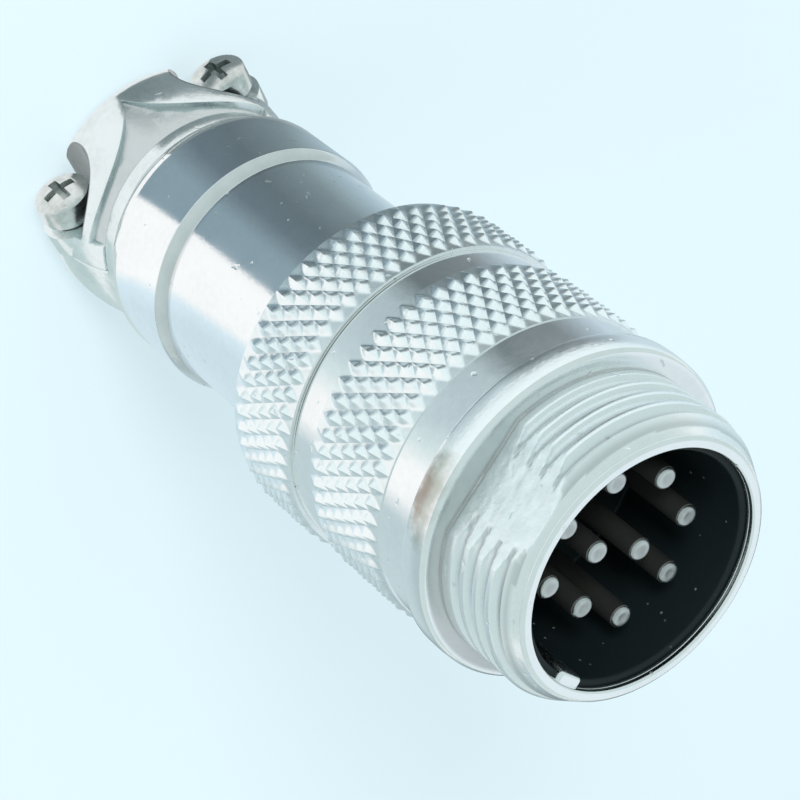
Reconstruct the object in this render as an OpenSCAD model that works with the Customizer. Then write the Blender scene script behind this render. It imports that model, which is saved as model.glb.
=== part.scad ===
// Ten-pin circular plug for a cable end: threaded nose, two knurled bands, screwed cable clamp.
// The plug stands on its clamp. The rear end is the plane z = 0 and the nose points up the z axis.
// The clamp screws lie along x, their heads face +y, and all lengths are in millimetres.

/* [Cable clamp] */
// Outer radius of the two clamp halves
clamp_r = 7.35; // [7.3:0.05:7.8]
// Height at which the clamp halves begin to narrow
clamp_grip_l = 1.6; // [1.3:0.1:3]
// Length of the curve between the clamp halves and the clamp's ring
clamp_dome_l = 4; // [3.6:0.1:6]
// Radius of the rounded rear edge of the clamp
clamp_edge_r = 1.2; // [0.4:0.05:1.3]
// How much the clamp narrows from its halves to its closed ring
clamp_drop = 0.75; // [0.3:0.05:1]
// Length of the clamp's closed ring
clamp_ring_l = 1.15; // [1:0.05:3]
// Radius of the cable hole through the clamp
cable_r = 3.6; // [2.5:0.05:3.8]
// Height of the joint between the clamp halves above the plug's axis
parting_h = 1.5; // [0.8:0.1:1.8]
// Radius of the two lobes of the saddle's crown, seen from above
lobe_r = 4.8; // [4.6:0.1:5.2]
// Distance of the lobes' centres from the plug's axis
lobe_x = 4.5; // [4.3:0.1:4.7]
// Height of the lobes' centres above the rear end
lobe_z = 0; // [-0.4:0.1:0.4]
// Step from the crown down to the slope in front of it
crown_step = 0.2; // [0.1:0.05:0.4]

/* [Clamp swivel] */
// Wall of the tail's collar round the swivel flange
collar_wall = 0.69; // [0.65:0.01:1]
// How far the swivel flange stands out past the neck behind it
swivel_lip = 0.6; // [0.4:0.05:0.9]
// Wall of the neck
neck_wall = 1; // [0.7:0.05:1.6]
// Thickness of the swivel flange
swivel_t = 1.25; // [0.8:0.05:2]
// Open groove between the clamp's ring and the tail's collar
swivel_groove = 0.35; // [0.2:0.05:0.8]
// Thickness of the retaining ring
snap_t = 0.7; // [0.4:0.05:1]
// Distance of the retaining ring from the rear face of the collar
snap_inset = 1; // [0.9:0.05:1.4]
// Depth of the retaining ring's groove in the collar
snap_groove = 0.3; // [0.15:0.05:0.4]
// Angle of the open gap in the retaining ring
snap_open = 24; // [10:1:60]

/* [Clamp screws] */
// Distance of each clamp screw from the outside of the clamp
screw_inset = 1.75; // [1.45:0.05:1.8]
// Height of the clamp screws above the rear end
screw_z = 1.7; // [1.7:0.05:2.2]
// Radius of a clamp screw's shank
screw_r = 1; // [0.75:0.05:1.1]
// Length of a clamp screw's shank
screw_l = 5; // [4:0.1:5.2]
// Chamfer at the end of a clamp screw's shank
screw_tip = 0.25; // [0.1:0.05:0.4]
// Free depth of a screw hole past the end of its screw
screw_run_out = 0.4; // [0.2:0.05:0.6]
// Radius of a screw head
head_r = 1.6; // [1.5:0.05:1.7]
// Height of a screw head
head_h = 2.15; // [1.5:0.05:2.3]
// Height of the domed top of a screw head
head_dome = 0.45; // [0.2:0.05:0.8]
// Chamfer under a screw head
head_under = 0.45; // [0.1:0.05:0.5]
// Radius of the pocket round a screw head
pocket_r = 2.3; // [2:0.05:2.4]
// Radius of the boss under a screw head
boss_r = 1.85; // [1.75:0.05:2]
// Height of the screw seats above the plug's axis
seat_h = 3; // [2.6:0.05:3.2]
// Width of the arms of the cross recess
recess_w = 0.5; // [0.3:0.05:0.7]
// Length across the cross recess
recess_l = 1.9; // [1.2:0.05:2.6]
// Depth of the cross recess
recess_d = 0.8; // [0.4:0.05:1]

/* [Tail] */
// Outer radius of the tail's collar
collar_r = 7.35; // [7.15:0.05:7.8]
// Length of the collar
collar_l = 5.2; // [4.4:0.05:8]
// Height of the rounded lead on the collar's rear edge
lead_h = 0.4; // [0.1:0.05:0.45]
// Length of the rounded lead on the collar's rear edge
lead_l = 1.1; // [0.5:0.05:1.2]
// Height of the step from the tube up to the collar
step_h = 0.5; // [0.2:0.05:0.8]
// Length of the tube between the collar's step and the knurl
tube_l = 10; // [6:0.1:20]
// Length of the bevelled step between the tube and the collar
step_l = 0.6; // [0.3:0.05:1.2]
// Wall of the tube
tube_wall = 0.95; // [0.7:0.05:1.3]
// Length of the thread between the tail and the front shell
joint_thread_l = 4; // [3:0.1:4.5]

/* [Knurl] */
// Number of grooves round each knurled band
knurl_count = 60; // [40:1:80]
// Length of one row of diamonds along the axis
knurl_row_l = 0.84; // [0.7:0.01:1]
// Rows of diamonds on the tail's knurled band
tail_rows = 6; // [4:1:9]
// Rows of diamonds on the front ring's knurled band
ring_rows = 7; // [4:1:9]
// How far the points of the tail's knurl stand out past the flange
tail_knurl_rise = 0.15; // [0:0.05:0.4]
// How far the points of the front ring's knurl stand out past the flange
ring_knurl_rise = 0; // [0:0.05:0.4]
// Depth of the knurl
knurl_depth = 0.34; // [0.2:0.02:0.36]

/* [Front ring] */
// Depth of the smooth band and the neck beside the knurl below the flange
band_drop = 0.4; // [0.4:0.05:0.8]
// Wall of the ring at its smooth band
ring_wall = 1.25; // [0.9:0.05:1.5]
// Length of the smooth band behind the flange
band_l = 2.3; // [1:0.05:6]
// Length of the smooth neck behind the knurl
ring_neck_l = 1.65; // [0.8:0.05:3]
// Small edge break on the ring's ends
ring_edge = 0.15; // [0.05:0.05:0.3]

/* [Front shell] */
// Radius over the crests of the barrel's thread
thread_r = 7.95; // [7.9:0.05:8.2]
// Length of the barrel in front of the flange
barrel_l = 5.3; // [4.5:0.1:10]
// Pitch of the barrel's thread
thread_pitch = 1; // [0.95:0.05:1.3]
// Depth of the barrel's thread
thread_depth = 0.5; // [0.3:0.05:0.5]
// Width of the bottom of the thread's groove
thread_root_w = 0.18; // [0.1:0.02:0.22]
// Height above the flange at which the thread's groove begins
thread_start = 0.43; // [0.4:0.01:0.8]
// Depth of the barrel's two flats below the crests
flat_cut = 0.57; // [0.35:0.01:0.6]
// Chamfer at the barrel's mouth
mouth_edge = 0.65; // [0.3:0.05:0.8]
// How far the flange stands out past the thread
flange_w = 1.1; // [0.8:0.05:1.6]
// Thickness of the flange
flange_t = 1.65; // [1:0.05:3]
// Chamfer of the flange's front edge
flange_edge = 0.25; // [0.1:0.05:0.6]
// Wall of the spigot inside the front ring and the tail
spigot_wall = 0.65; // [0.5:0.05:0.9]
// Height of the lip inside the mouth
lip_h = 0.25; // [0.2:0.05:0.4]
// Thickness of the lip at the mouth
lip_t = 0.5; // [0.3:0.05:1]
// Width of the key
key_w = 1.7; // [1:0.05:2.2]
// Height of the key above the shell's inside
key_h = 0.85; // [0.7:0.05:1.1]
// Length of the key
key_l = 7.2; // [4:0.1:7.6]
// Distance of the key's end from the mouth
key_inset = 0.2; // [0:0.05:0.5]
// Turn of the front shell about the plug's axis
front_turn = 27; // [-180:1:180]

/* [Contact insert] */
// Wall of the insert's cup
cup_wall = 0.57; // [0.45:0.01:0.7]
// Depth of the insert's floor below the mouth
floor_depth = 8.4; // [7.8:0.1:10]
// Thickness of the insert's floor
floor_t = 4.5; // [3:0.1:6]
// Thickness of the insert's retaining ring
retainer_t = 1.15; // [0.8:0.05:2]
// Width of the insert's retaining ring
retainer_w = 1.42; // [0.9:0.01:1.6]

/* [Pins] */
// Radius of a pin
pin_r = 0.6; // [0.5:0.05:0.75]
// Depth of the pins' tips below the mouth
tip_depth = 1.9; // [1:0.1:4]
// Distance of the outer circle of pins from the inside of the cup
pin_margin = 2.05; // [1.95:0.05:2.4]
// How far the pin beside the key is set inwards from the outer circle
key_pin_inset = 0.9; // [0.5:0.05:1.3]
// Distance of the inner pins from the axis
inner_pin_r = 1.38; // [1.2:0.02:1.6]
// Angle of the pair of inner pins
inner_pin_a = 110; // [90:1:130]
// Outer radius of a solder cup
solder_r = 0.85; // [0.75:0.05:0.9]
// Inner radius of a solder cup
solder_bore_r = 0.55; // [0.4:0.05:0.6]
// Length of a solder cup
solder_l = 4.3; // [3:0.1:5]
// Depth of the hole in a solder cup
solder_depth = 2.6; // [1.5:0.1:3]
// Length of the open half of a solder cup
solder_open = 1.4; // [0.8:0.1:2]

/* [Clearances] */
// Radial clearance of the tail's thread, its collar and the clamp screws
running_fit = 0.06; // [0.03:0.01:0.1]
// Radial clearance of pieces that are pressed or cemented together
seat_fit = 0.03; // [0.01:0.01:0.05]
// Gap between faces that meet
face_gap = 0.1; // [0.05:0.01:0.2]
// Free depth of the tail's thread behind the end of the spigot
thread_relief = 0.3; // [0.1:0.05:0.6]

/* [Hidden] */
$fn = 72;
PIN_COUNT = 10;
OUTER_PINS = 8;

// Colours
nickel = [0.80, 0.81, 0.80];
warm_nickel = [0.78, 0.76, 0.71];
pin_silver = [0.75, 0.75, 0.74];
phenolic_black = [0.05, 0.05, 0.06];

// More than any length here, for cuts that run right through
reach = 60;
// How far a cut starts outside the face it opens
overcut = 1;

// Thread of the barrel: facets in a turn, facets over which the groove deepens, the angle at which
// it begins, the slope of its sides and how far the cut reaches past the crests
THREAD_STEPS = 48;
THREAD_FADE = 8;
thread_start_a = -120;
thread_side_a = 30;
thread_over = 0.1;

// Heights along the axis, from the rear end to the nose
clamp_ring_z = clamp_grip_l + clamp_dome_l;
groove_z = clamp_ring_z + clamp_ring_l;
collar_z = groove_z + swivel_groove;
snap_z = collar_z + snap_inset;
swivel_z = snap_z + snap_t + face_gap;
shoulder_z = swivel_z + swivel_t + face_gap;
step_z = collar_z + collar_l;
tube_z = step_z + step_l;
tail_knurl_z = tube_z + tube_l;
tail_top_z = tail_knurl_z + tail_rows * knurl_row_l;
ring_z = tail_top_z + face_gap;
ring_knurl_z = ring_z + ring_neck_l;
band_z = ring_knurl_z + ring_rows * knurl_row_l;
ring_top_z = band_z + band_l;
flange_z = ring_top_z + face_gap;
barrel_z = flange_z + flange_t;
mouth_z = barrel_z + barrel_l;
spigot_z = tail_top_z - joint_thread_l;
floor_z = mouth_z - floor_depth;
insert_z = floor_z - floor_t;
retainer_z = insert_z - seat_fit - retainer_t;
tip_z = mouth_z - tip_depth;

// Radii of the front, from the thread outwards and then inwards to the pins
flange_r = thread_r + flange_w;
flat_d = thread_r - flat_cut;
tail_knurl_r = flange_r + tail_knurl_rise;
ring_knurl_r = flange_r + ring_knurl_rise;
band_r = flange_r - band_drop;
spigot_r = band_r - ring_wall;
joint_bore_r = spigot_r + running_fit;
ring_bore_r = spigot_r + seat_fit;
shell_bore_r = spigot_r - spigot_wall;
lip_r = shell_bore_r - lip_h;
key_r = shell_bore_r - key_h;
insert_r = shell_bore_r - seat_fit;
cup_r = insert_r - cup_wall;
retainer_r = insert_r - retainer_w;
pin_ring_r = cup_r - pin_margin;
key_pin_r = pin_ring_r - key_pin_inset;

// Radii of the tail and the clamp, from the outside inwards
tube_r = collar_r - step_h;
tail_bore_r = tube_r - tube_wall;
swivel_bore_r = collar_r - collar_wall;
swivel_r = swivel_bore_r - running_fit;
snap_groove_r = swivel_bore_r + snap_groove;
neck_r = swivel_r - swivel_lip;
neck_bore_r = neck_r - neck_wall;
clamp_ring_r = clamp_r - clamp_drop;
screw_x = clamp_r - screw_inset;

// Curve of the clamp's outside: radius of the arc and the angle it covers
dome_r = (clamp_dome_l * clamp_dome_l + clamp_drop * clamp_drop) / (2 * clamp_drop);
dome_a = asin(clamp_dome_l / dome_r);
// Height at which the two lobes of the saddle meet
cusp_z = lobe_z + sqrt(lobe_r * lobe_r - lobe_x * lobe_x);

// Points of an arc about c, from angle a to angle b
function arc(c, r, a, b, steps = 6) =
    [for (i = [0:steps]) c + r * [cos(a + (b - a) * i / steps), sin(a + (b - a) * i / steps)]];

// Place of pin i: the outer circle starts beside the key, whose pin is set inwards
function pin_radius(i) = i == 0 ? key_pin_r : i < OUTER_PINS ? pin_ring_r : inner_pin_r;
function pin_angle(i) =
    i < OUTER_PINS ? 180 + i * 360 / OUTER_PINS : inner_pin_a + (i - OUTER_PINS) * 180;

// One knurled band. Grid points alternate between diamond points and groove crossings, and each
// cell of the grid is split along its groove. Both ends are as deep as the grooves, and the band's
// inside lies in the middle of the piece's own wall.
module knurl_band(z, rows, points_r) {
    columns = 2 * knurl_count;
    root_r = points_r - knurl_depth;
    inner_r = (joint_bore_r + band_r) / 2;
    is_point = function(i, j) j > 0 && j < rows && (i + j) % 2 == 0;
    step = 360 / columns;
    ring_point = function(r, i, j) [r * cos(i * step), r * sin(i * step), z + j * knurl_row_l];
    skin = [for (j = [0:rows]) for (i = [0:columns - 1])
        ring_point(is_point(i, j) ? points_r : root_r, i, j)];
    wall = [for (j = [0, rows]) for (i = [0:columns - 1]) ring_point(inner_r, i, j)];
    at = function(i, j) j * columns + i % columns;
    low = function(i) len(skin) + i % columns;
    high = function(i) len(skin) + columns + i % columns;
    skin_faces = [for (j = [0:rows - 1]) for (i = [0:columns - 1])
        for (f = (i + j) % 2 == 0
            ? [[at(i, j), at(i, j + 1), at(i + 1, j)], [at(i + 1, j), at(i, j + 1), at(i + 1, j + 1)]]
            : [[at(i, j), at(i + 1, j + 1), at(i + 1, j)], [at(i, j), at(i, j + 1), at(i + 1, j + 1)]]) f];
    end_faces = [for (i = [0:columns - 1]) for (f = [
        [at(i, 0), at(i + 1, 0), low(i + 1), low(i)],
        [at(i + 1, rows), at(i, rows), high(i), high(i + 1)],
        [low(i), low(i + 1), high(i + 1), high(i)]]) f];
    polyhedron(concat(skin, wall), concat(skin_faces, end_faces));
}

// Cutter for the groove of the barrel's thread, a helix that deepens behind its start and runs out
// at the mouth
module thread_groove() {
    turns = (barrel_l - thread_start) / thread_pitch + 1;
    count = ceil(turns * THREAD_STEPS);
    out_r = thread_r + thread_over;
    depth = function(i) (thread_over + thread_depth) * min(1, (i + 1) / THREAD_FADE);
    half = function(i, r) thread_root_w / 2 + (r - out_r + depth(i)) * tan(thread_side_a);
    point = function(i, r, side) let(
        a = thread_start_a + i * 360 / THREAD_STEPS,
        z = barrel_z + thread_start + i * thread_pitch / THREAD_STEPS
    ) [r * cos(a), r * sin(a), z + side * half(i, r)];
    points = [for (i = [0:count]) for (p = [
        point(i, out_r - depth(i), -1), point(i, out_r, -1), point(i, out_r, 1), point(i, out_r - depth(i), 1)
    ]) p];
    sides = [for (i = [0:count - 1]) for (k = [0:3]) let(
        a = 4 * i + k,
        b = 4 * i + (k + 1) % 4
    ) for (f = [[a, b, b + 4], [a, b + 4, a + 4]]) f];
    last = 4 * count;
    polyhedron(points, concat(sides, [[3, 2, 1, 0], [last, last + 1, last + 2, last + 3]]));
}

module turn_profile(points) {
    rotate_extrude() polygon(points);
}

// Everything above height h over the plug's axis, towards the screw heads
module above(h) {
    translate([-reach, h, -reach]) cube(2 * reach);
}

// A rod along y at the place of a clamp screw, from height a to height b
module screw_rod(side, r, a, b) {
    translate([side * screw_x, a, screw_z]) rotate([-90, 0, 0]) cylinder(r = r, h = b - a);
}

// Outside of both clamp halves: a round rear edge and a long curve down to the ring
module clamp_outside(top) {
    turn_profile(concat(
        [[0, 0]],
        arc([clamp_r - clamp_edge_r, clamp_edge_r], clamp_edge_r, -90, 0),
        arc([clamp_r - dome_r, clamp_grip_l], dome_r, 0, dome_a),
        [[clamp_ring_r, top], [0, top]]
    ));
}

// Slope in front of the saddle's crown, a cone from the cusp between the lobes to the ring
module saddle_slope() {
    slope_r = clamp_r - crown_step;
    turn_profile([
        [0, 0], [slope_r, 0], [slope_r, cusp_z],
        [clamp_ring_r - crown_step, clamp_ring_z], [0, clamp_ring_z]
    ]);
}

// Parts of the saddle that keep the clamp's full outside: the crown's lobes and all below the seats
module saddle_full() {
    for (side = [-1, 1])
        translate([side * lobe_x, 0, lobe_z]) rotate([-90, 0, 0]) cylinder(r = lobe_r, h = reach);
    translate([-reach, 0, -reach]) cube([2 * reach, seat_h, 2 * reach]);
}

// Shell with the threaded barrel, its flats and key, the flange and the spigot
module front_shell() {
    color(nickel) rotate(front_turn) union() {
        difference() {
            turn_profile([
                [shell_bore_r, spigot_z], [spigot_r - ring_edge, spigot_z], [spigot_r, spigot_z + ring_edge],
                [spigot_r, flange_z], [flange_r - ring_edge, flange_z], [flange_r, flange_z + ring_edge],
                [flange_r, barrel_z - flange_edge], [flange_r - flange_edge, barrel_z],
                [thread_r, barrel_z], [thread_r, mouth_z - mouth_edge], [thread_r - mouth_edge, mouth_z],
                [lip_r + key_inset, mouth_z], [lip_r, mouth_z - key_inset],
                [lip_r, mouth_z - lip_t], [shell_bore_r, mouth_z - lip_t]
            ]);
            for (side = [-1, 1])
                translate([-reach, side > 0 ? flat_d : -flat_d - reach, barrel_z])
                    cube([2 * reach, reach, barrel_l + overcut]);
            thread_groove();
        }
        shell_key();
    }
}

// Key inside the mouth, let into the wall by half of the wall's thickness
module shell_key() {
    key_root_r = (shell_bore_r + thread_r - mouth_edge) / 2;
    intersection() {
        translate([-reach, -key_w / 2, mouth_z - key_inset - key_l]) cube([reach, key_w, key_l]);
        difference() {
            cylinder(r = key_root_r, h = mouth_z);
            translate([-key_r, -key_w, 0]) cube([2 * key_r + key_w, 2 * key_w, reach]);
        }
    }
}

// Ring with a smooth band, a knurl and a smooth neck, cemented on the spigot
module front_ring() {
    color(nickel) rotate(front_turn) union() {
        turn_profile([
            [ring_bore_r, ring_z], [band_r - ring_edge, ring_z], [band_r, ring_z + ring_edge],
            [band_r, ring_top_z - ring_edge], [band_r - ring_edge, ring_top_z], [ring_bore_r, ring_top_z]
        ]);
        knurl_band(ring_knurl_z, ring_rows, ring_knurl_r);
    }
}

// Moulded cup with a thick floor that carries the pins, slotted for the key
module contact_insert() {
    cup_z = mouth_z - lip_t - seat_fit;
    color(phenolic_black) rotate(front_turn) difference() {
        turn_profile([
            [0, insert_z], [insert_r, insert_z], [insert_r, cup_z],
            [cup_r, cup_z], [cup_r, floor_z], [0, floor_z]
        ]);
        translate([-reach, -key_w / 2 - face_gap, mouth_z - key_inset - key_l - face_gap])
            cube([reach - key_r + face_gap, key_w + 2 * face_gap, reach]);
        for (i = [0:PIN_COUNT - 1]) at_pin(i) cylinder(r = pin_r + seat_fit, h = reach);
    }
}

// Ring that holds the insert in the shell from behind
module insert_retainer() {
    color(warm_nickel) turn_profile([
        [retainer_r, retainer_z], [insert_r, retainer_z],
        [insert_r, retainer_z + retainer_t], [retainer_r, retainer_z + retainer_t]
    ]);
}

module at_pin(i) {
    rotate(pin_angle(i)) translate([pin_radius(i), 0, 0]) children();
}

// One pin: a round-ended shaft through the floor and a hollow solder cup behind it
module contact_pin(i) {
    cup_top_z = insert_z - seat_fit;
    cup_z = cup_top_z - solder_l;
    color(pin_silver) rotate(front_turn) at_pin(i) difference() {
        turn_profile(concat(
            [[0, cup_z], [solder_r, cup_z], [solder_r, cup_top_z], [pin_r, cup_top_z]],
            arc([pin_r / 2, tip_z - pin_r / 2], pin_r / 2, 0, 90),
            [[0, tip_z]]
        ));
        translate([0, 0, cup_z - overcut]) cylinder(r = solder_bore_r, h = solder_depth + overcut);
        translate([0, -reach / 2, cup_z - overcut]) cube([reach, reach, solder_open + overcut]);
    }
}

// Tail with the knurled grip, the tube and the collar that holds the clamp's swivel
module tail_shell() {
    thread_end_z = spigot_z - thread_relief;
    lead_r = (lead_l * lead_l + lead_h * lead_h) / (2 * lead_h);
    color(nickel) union() {
        turn_profile(concat(
            [[swivel_bore_r, collar_z]],
            arc([collar_r - lead_r, collar_z + lead_l], lead_r, -asin(lead_l / lead_r), 0),
            [[collar_r, step_z], [tube_r, tube_z], [tube_r, tail_knurl_z], [band_r, tail_knurl_z],
                [band_r, tail_top_z], [joint_bore_r, tail_top_z], [joint_bore_r, thread_end_z],
                [tail_bore_r, thread_end_z], [tail_bore_r, shoulder_z],
                [swivel_bore_r, shoulder_z], [swivel_bore_r, snap_z + snap_t],
                [snap_groove_r, snap_z + snap_t], [snap_groove_r, snap_z], [swivel_bore_r, snap_z]]
        ));
        knurl_band(tail_knurl_z, tail_rows, tail_knurl_r);
    }
}

// Split ring in the collar's groove, behind the clamp's swivel flange
module clamp_retaining_ring() {
    snap_in_r = neck_r + face_gap;
    snap_out_r = snap_groove_r - seat_fit;
    color(warm_nickel) rotate(snap_open / 2) rotate_extrude(angle = 360 - snap_open)
        translate([snap_in_r, snap_z + seat_fit]) square([snap_out_r - snap_in_r, snap_t - 2 * seat_fit]);
}

// Lower clamp half with the closed ring, the neck and the swivel flange
module clamp_base() {
    color(warm_nickel) difference() {
        union() {
            difference() {
                clamp_outside(groove_z);
                intersection() {
                    above(parting_h);
                    translate([-reach, -reach, -reach]) cube([2 * reach, 2 * reach, reach + clamp_ring_z]);
                }
            }
            turn_profile([
                [0, clamp_ring_z], [neck_r, clamp_ring_z], [neck_r, swivel_z], [swivel_r, swivel_z],
                [swivel_r, swivel_z + swivel_t], [0, swivel_z + swivel_t]
            ]);
        }
        translate([0, 0, -overcut]) cylinder(r = cable_r, h = reach);
        translate([0, 0, groove_z]) cylinder(r = neck_bore_r, h = reach);
        for (side = [-1, 1])
            screw_rod(side, screw_r + running_fit, seat_h - screw_l - screw_run_out, parting_h + overcut);
    }
}

// Upper clamp half: an arch over the cable, a lobed crown and a boss in a pocket for each screw head
module clamp_saddle() {
    color(nickel) difference() {
        intersection() {
            above(parting_h + face_gap);
            translate([-reach, -reach, face_gap]) cube([2 * reach, 2 * reach, clamp_ring_z - 2 * face_gap]);
            union() {
                intersection() {
                    clamp_outside(clamp_ring_z);
                    union() {
                        saddle_slope();
                        saddle_full();
                    }
                }
                for (side = [-1, 1]) screw_rod(side, boss_r, 0, seat_h);
            }
        }
        translate([0, 0, -overcut]) cylinder(r = cable_r, h = reach);
        for (side = [-1, 1]) {
            screw_rod(side, screw_r + running_fit, 0, reach);
            screw_rod(side, pocket_r, seat_h, reach);
        }
    }
}

// Clamp screw with a domed head, a chamfer under it and a cross recess
module clamp_screw(side) {
    top_r = (head_r * head_r + head_dome * head_dome) / (2 * head_dome);
    color(pin_silver) translate([side * screw_x, seat_h + seat_fit, screw_z]) rotate([-90, 0, 0])
        difference() {
            turn_profile(concat(
                [[0, -screw_l], [screw_r - screw_tip, -screw_l], [screw_r, screw_tip - screw_l], [screw_r, 0],
                    [head_r - head_under, 0], [head_r, head_under]],
                arc([0, head_h - top_r], top_r, acos(head_r / top_r), 90)
            ));
            for (turn = [0, 90])
                rotate(turn) translate([-recess_l / 2, -recess_w / 2, head_h - recess_d])
                    cube([recess_l, recess_w, head_h]);
        }
}

front_shell();
front_ring();
contact_insert();
insert_retainer();
for (i = [0:PIN_COUNT - 1]) contact_pin(i);
tail_shell();
clamp_retaining_ring();
clamp_base();
clamp_saddle();
clamp_screw(-1);  // left_clamp_screw
clamp_screw(1);  // right_clamp_screw
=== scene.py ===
"""Looks of a round cable plug: plated shells, thread and knurl, a black insert with pins, a cast clamp."""
import math

import bmesh
import bpy
from mathutils import Euler, Matrix, Vector, noise as grain


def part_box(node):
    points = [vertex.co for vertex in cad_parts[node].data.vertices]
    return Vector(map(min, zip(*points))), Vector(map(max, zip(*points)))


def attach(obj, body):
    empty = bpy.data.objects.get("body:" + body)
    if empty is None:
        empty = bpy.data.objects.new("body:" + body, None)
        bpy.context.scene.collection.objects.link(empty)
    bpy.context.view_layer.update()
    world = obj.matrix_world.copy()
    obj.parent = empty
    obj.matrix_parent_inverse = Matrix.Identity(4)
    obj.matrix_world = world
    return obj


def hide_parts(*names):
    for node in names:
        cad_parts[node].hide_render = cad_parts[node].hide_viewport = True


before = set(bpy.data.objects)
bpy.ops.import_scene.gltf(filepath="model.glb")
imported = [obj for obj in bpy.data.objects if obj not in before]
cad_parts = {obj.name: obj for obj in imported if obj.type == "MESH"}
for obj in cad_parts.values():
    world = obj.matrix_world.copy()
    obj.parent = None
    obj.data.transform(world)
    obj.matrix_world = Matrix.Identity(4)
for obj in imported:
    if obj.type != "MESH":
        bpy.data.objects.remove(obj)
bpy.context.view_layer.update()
MM = 0.001
CENTRE, AXIS = (0, 0, 0), (0, 0, 1)

# Heights of the solids, in millimetres
MOUTH_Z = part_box("front_shell")[1].z / MM
SPIGOT_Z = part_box("front_shell")[0].z / MM
RING_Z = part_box("front_ring")[0].z / MM
RING_TOP_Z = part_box("front_ring")[1].z / MM
TAIL_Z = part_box("tail_shell")[0].z / MM
TAIL_TOP_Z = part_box("tail_shell")[1].z / MM
INSERT_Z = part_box("contact_insert")[0].z / MM
TIP_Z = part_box("pin_2")[1].z / MM
SOLDER_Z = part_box("pin_2")[0].z / MM
FLANGE_Z = RING_TOP_Z + 0.1
BARREL_Z = FLANGE_Z + 1.65
FLOOR_Z = MOUTH_Z - 8.4
CUP_Z = MOUTH_Z - 0.53

# Front shell and insert, in millimetres; the thread's start angle and its fade are in degrees
FRONT_TURN = math.radians(27)
THREAD_R, THREAD_ROOT_R, THREAD_PITCH = 7.95, 7.45, 1.0
THREAD_START, THREAD_START_ANGLE, THREAD_FADE = 0.43, -120, 60
FLAT_D, RIM_R, RIM_DROP, LEAD_RISE = 7.37, 7.15, 0.15, 0.56
FLANGE_R, BAND_R, SPIGOT_R, RING_PLAY = 9.05, 8.65, 7.4, 0.03
SHELL_BORE_R, SLEEVE_R, CORE_R = 6.75, 7.0, 7.1
LIP_R, RIM_BORE_R, RIM_FOOT = 6.5, 6.52, 0.45
CROWN_DROP, CROWN_LENGTH = 0.09, 1.35
KEY_SIZE, KEY_D, KEY_DROP = (0.95, 1.7, 7.0), 6.4, 0.25
INSERT_R, CUP_R = 6.72, 6.15

# Knurl: points round the axis, height of a row, depth, and the wall inside the belt
KNURL_COUNT, KNURL_ROW, KNURL_DEPTH, KNURL_WALL_R = 60, 0.84, 0.34, 8.1
KNURL_CUTS, KNURL_WEAR = 3, 0.45
TAIL_ROWS, RING_ROWS = 6, 7
TAIL_KNURL_R, RING_KNURL_R = 9.2, 9.05
TAIL_KNURL_Z = TAIL_TOP_Z - TAIL_ROWS * KNURL_ROW
RING_KNURL_Z = RING_Z + 1.65

# Tail, pins, clamp and screws, in millimetres
TAIL_LIP_Z = TAIL_TOP_Z + 0.03
COLLAR_R, TUBE_R, TAIL_BORE_R = 7.35, 6.85, 5.9
COLLAR_ROUND, COLLAR_LEAD = 0.4, 1.1
STEP_Z, STEP_TOP_Z = 12.3, 12.9
SOCKET_R, SOCKET_Z = 7.46, TAIL_TOP_Z - 4.3
NECK_BORE_R, NECK_FLOOR_Z = 6.66, 10.25
GROOVE_R, GROOVE_Z, GROOVE_TOP_Z = 6.96, 8.1, 8.8
PIN_COUNT, OUTER_PINS, INNER_PIN_ANGLE = 10, 8, 110
PIN_R, PIN_RING_R, KEY_PIN_R, INNER_PIN_R = 0.6, 4.1, 3.2, 1.38
SOLDER_R, SOLDER_BORE_R, SOLDER_DEPTH, TIP_ROUND = 0.85, 0.55, 2.6, 0.22
CLAMP_R, DOME_R, GRIP_Z, CUSP_Z = 7.35, 11.04, 1.6, 1.67
POCKET_X, POCKET_Z, POCKET_R, POCKET_FLOOR_Y = 5.6, 1.7, 2.4, 3.02
HEAD_R, HEAD_RISE, RECESS_R, RECESS_DEPTH = 1.6, 0.45, 1.0, 0.95

# Fineness of the meshes, with the weld distances in metres
FINE_STEPS, THREAD_STEPS, PIN_STEPS = 200, 240, 40
FIFTHS = (0, 0.2, 0.4, 0.6, 0.8, 1)
WELD, LOOSE_WELD = 1e-7, 1e-6

# Studio: cards in millimetres, the rest in metres
CARD_Z, LOW_CARD_Z = 6.2, 0.2
NEAR_CARD_R, FAR_CARD_R, OUTER_CARD_R, CARD_END_R = 8.3, 25, 48, 400
LOW_CARD_R, LOW_CARD_END_R, CARD_STEPS = 7.7, 12.5, 96
FLOOR_SIZE, LAMP_AIM = 3.0, (0, 0, 0.022)
WHITE = (0.98, 1.0, 1.0)

# Camera of the photo: millimetres and degrees
PHOTO_LENS, PHOTO_SENSOR = 126, 36
PHOTO_PLACE = (-31.28, 99.567, 123.897)
PHOTO_TILT = (-33.8974, -34.3954, -23.1552)

# Relief of the metal in metres, and the tint that its dull places take on
METAL_RELIEF = 0.00002
DULL_TINT = (0.93, 0.99, 1.0)


# Mesh helpers

def smooth_step(a, b, x):
    """0 at a and before it, 1 at b and past it, smooth between."""
    t = min(max((x - a) / (b - a), 0), 1)
    return t * t * (3 - 2 * t)


def whole(bm):
    """All vertices, edges and faces of a mesh."""
    return bm.verts[:] + bm.edges[:] + bm.faces[:]


def turn_round(bm, angle):
    """Turn a mesh about the plug's axis, by an angle in radians."""
    bmesh.ops.rotate(bm, cent=CENTRE, matrix=Matrix.Rotation(angle, 3, "Z"), verts=bm.verts)


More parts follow.
